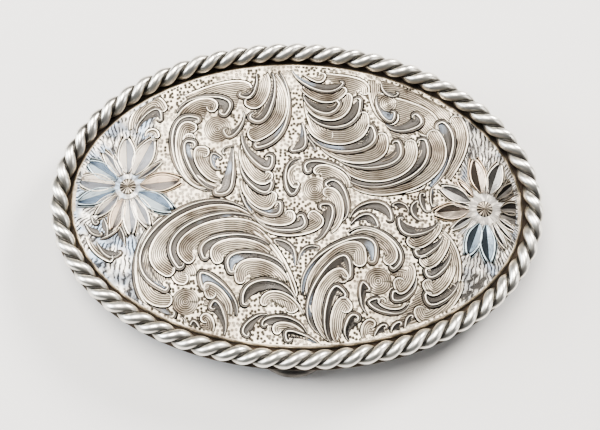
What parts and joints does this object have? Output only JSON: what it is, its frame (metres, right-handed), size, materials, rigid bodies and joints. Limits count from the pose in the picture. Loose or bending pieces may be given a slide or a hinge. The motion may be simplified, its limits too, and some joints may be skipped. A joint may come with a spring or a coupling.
{
  "type": "western belt buckle",
  "caption": "Oval western plate buckle: bowed engraved face in a twisted rope rim, with a belt loop and a hook on the back.",
  "frame": {"origin": "on the surface it lies on, under the middle of the oval", "axes": "+X along the long side, +Y across the belt, +Z out of the engraved face"},
  "size_m": [0.089, 0.0612, 0.0126],
  "materials": {
    "face": "bright-cut engraving, antiqued, worn",
    "rope": "polished strands with dark grooves",
    "back_metal": "plain, dulled"
  },
  "bodies": {
    "root": {"face_plate": "face", "rope_edge": "rope", "belt_loop": "back_metal", "hook": "back_metal"}
  },
  "joints": []
}
